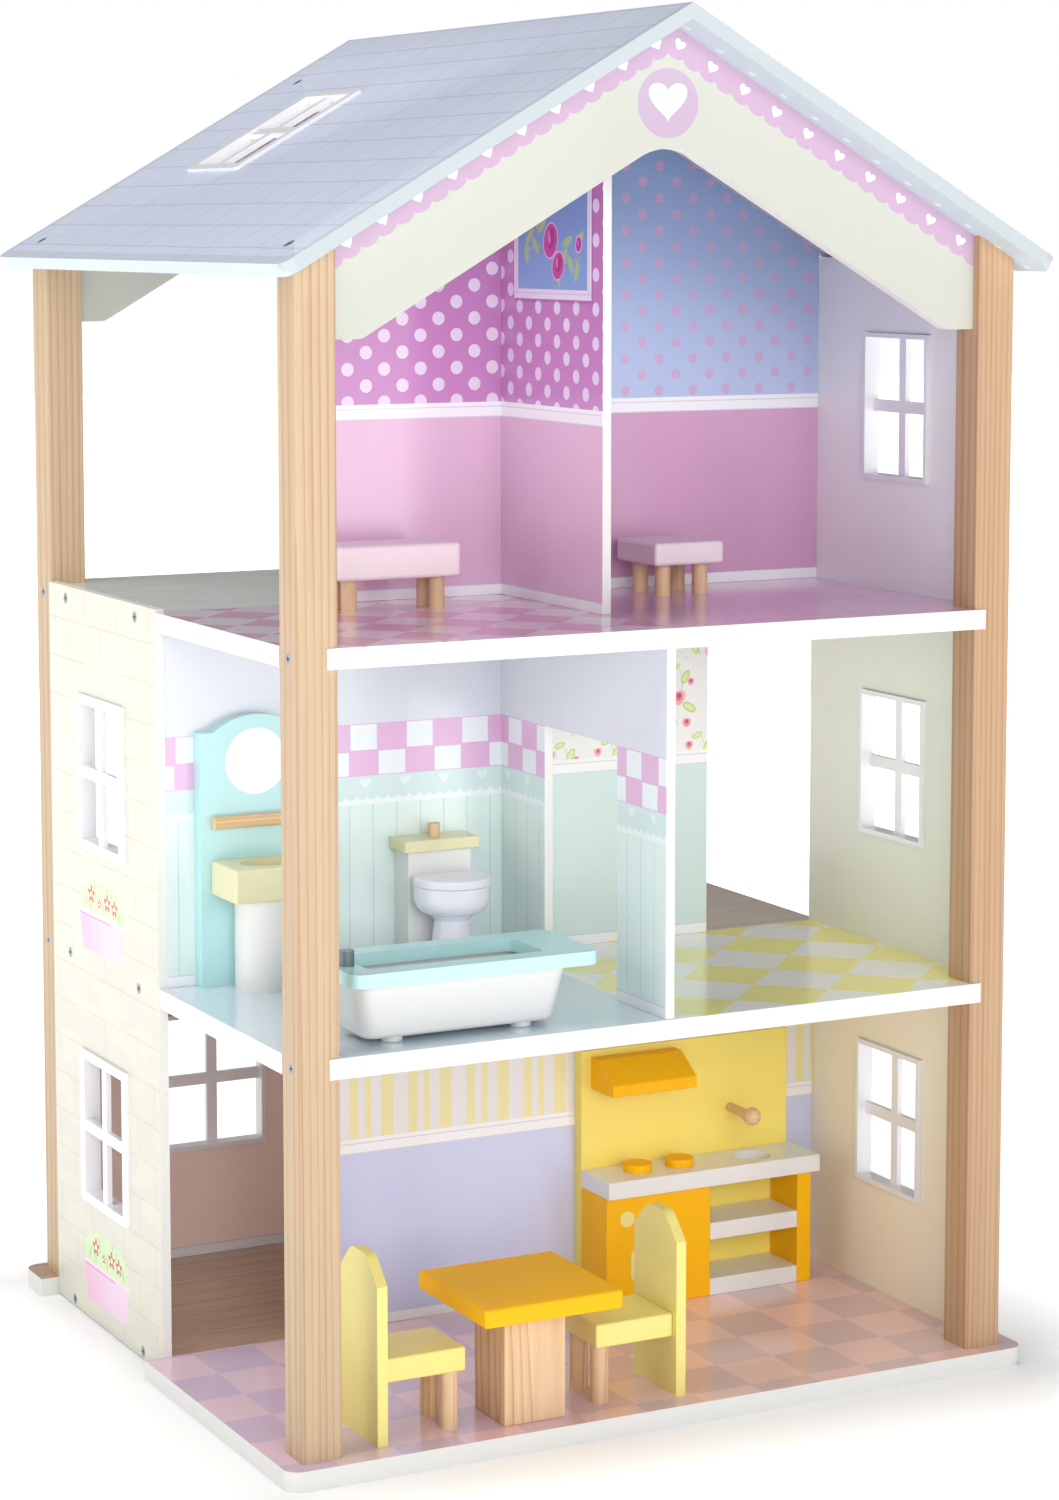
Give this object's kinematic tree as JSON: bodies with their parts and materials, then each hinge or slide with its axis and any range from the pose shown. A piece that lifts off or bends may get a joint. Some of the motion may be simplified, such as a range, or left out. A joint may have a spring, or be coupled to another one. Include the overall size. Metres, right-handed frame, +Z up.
{
  "type": "wooden dollhouse",
  "caption": "Open four-sided wooden dollhouse on a base board, with posts, stacked floors, wall panels, gabled roof, plastic windows and loose wooden room furniture.",
  "frame": {"origin": "centre of the base plate's underside", "axes": "+X to the right along the front, +Y to the back, +Z up"},
  "size_m": [0.5078, 0.473, 0.835],
  "materials": {
    "base_board": "printed board, satin",
    "floor_board": "printed board, gloss",
    "pine_post": "clear lacquer",
    "brick_panel": "printed board, satin",
    "papered_wall": "printed board, satin",
    "roof_board": "printed board, satin",
    "gable_board": "painted, satin",
    "window_plastic": "moulded",
    "screw_steel": "zinc plated",
    "yellow_paint": "painted, satin",
    "orange_paint": "painted, satin",
    "white_paint": "painted, satin",
    "bare_wood": "sanded",
    "pale_yellow_paint": "painted, satin",
    "blue_paint": "painted, satin",
    "mirror_foil": "bright disc",
    "toilet_plastic": "gloss",
    "tap_grey": "painted",
    "pink_paint": "painted, satin"
  },
  "bodies": {
    "house": {"base_plate": "base_board", "base_screws": "screw_steel", "first_cross_wall": "papered_wall", "first_floor": "floor_board", "first_partition": "papered_wall", "gable_back": "gable_board", "gable_front": "gable_board", "ground_back_partition": "papered_wall", "ground_back_wall": "papered_wall", "ground_cross_wall": "papered_wall", "panel_screws": "screw_steel", "post_back_left": "pine_post", "post_back_right": "pine_post", "post_front_left": "pine_post", "post_front_right": "pine_post", "post_screws": "screw_steel", "roof_left": "roof_board", "roof_right": "roof_board", "roof_screws": "screw_steel", "second_cross_wall": "papered_wall", "second_floor": "floor_board", "second_partition": "papered_wall", "side_panel_left": "brick_panel", "side_panel_right": "brick_panel", "skylight_inserts": "window_plastic", "window_inserts": "window_plastic"},
    "kitchen": {"kitchen_board": "yellow_paint", "kitchen_cabinet": "orange_paint", "kitchen_hobs": "orange_paint", "kitchen_hood": "orange_paint", "kitchen_shelves": "white_paint", "kitchen_side": "orange_paint", "kitchen_tap": "bare_wood", "kitchen_worktop": "white_paint"},
    "table": {"table_block": "bare_wood", "table_top": "orange_paint"},
    "left_chair": {"left_chair_back": "pale_yellow_paint", "left_chair_legs": "bare_wood", "left_chair_seat": "pale_yellow_paint"},
    "right_chair": {"right_chair_back": "pale_yellow_paint", "right_chair_legs": "bare_wood", "right_chair_seat": "pale_yellow_paint"},
    "vanity": {"vanity_bar": "bare_wood", "vanity_basin": "pale_yellow_paint", "vanity_board": "blue_paint", "vanity_column": "white_paint", "vanity_mirror": "mirror_foil"},
    "bath": {"bath_rim": "blue_paint", "bath_tap": "tap_grey", "bath_tub": "white_paint"},
    "bench": {"bench_legs": "bare_wood", "bench_seat": "pink_paint"},
    "stool": {"stool_legs": "bare_wood", "stool_seat": "pink_paint"},
    "toilet": {"toilet_cistern": "white_paint", "toilet_cap": "pale_yellow_paint", "toilet_button": "bare_wood", "toilet_bowl": "toilet_plastic"},
    "toilet_lid": {"toilet_lid": "toilet_plastic"}
  },
  "joints": [
    {"name": "kitchen_slide", "type": "slide", "parent": "house", "child": "kitchen", "axis": [1, 0, 0], "range_m": [-0.1, 0.02]},
    {"name": "table_slide", "type": "slide", "parent": "house", "child": "table", "axis": [0, 1, 0], "range_m": [0, 0.07]},
    {"name": "left_chair_slide", "type": "slide", "parent": "house", "child": "left_chair", "axis": [1, 0, 0], "range_m": [-0.022, 0.012]},
    {"name": "right_chair_slide", "type": "slide", "parent": "house", "child": "right_chair", "axis": [1, 0, 0], "range_m": [-0.012, 0.15]},
    {"name": "vanity_slide", "type": "slide", "parent": "house", "child": "vanity", "axis": [1, 0, 0], "range_m": [-0.015, 0.045]},
    {"name": "toilet_slide", "type": "slide", "parent": "house", "child": "toilet", "axis": [1, 0, 0], "range_m": [-0.045, 0.02]},
    {"name": "toilet_lid_hinge", "type": "hinge", "parent": "toilet", "child": "toilet_lid", "pos_m": [-0.0565, -0.0228, 0.3026], "axis": [-1, 0, 0], "range_deg": [0, 74]},
    {"name": "bath_slide", "type": "slide", "parent": "house", "child": "bath", "axis": [1, 0, 0], "range_m": [-0.01, 0.034]},
    {"name": "bench_slide", "type": "slide", "parent": "house", "child": "bench", "axis": [1, 0, 0], "range_m": [-0.06, 0.055]},
    {"name": "stool_slide", "type": "slide", "parent": "house", "child": "stool", "axis": [1, 0, 0], "range_m": [-0.065, 0.1]}
  ]
}
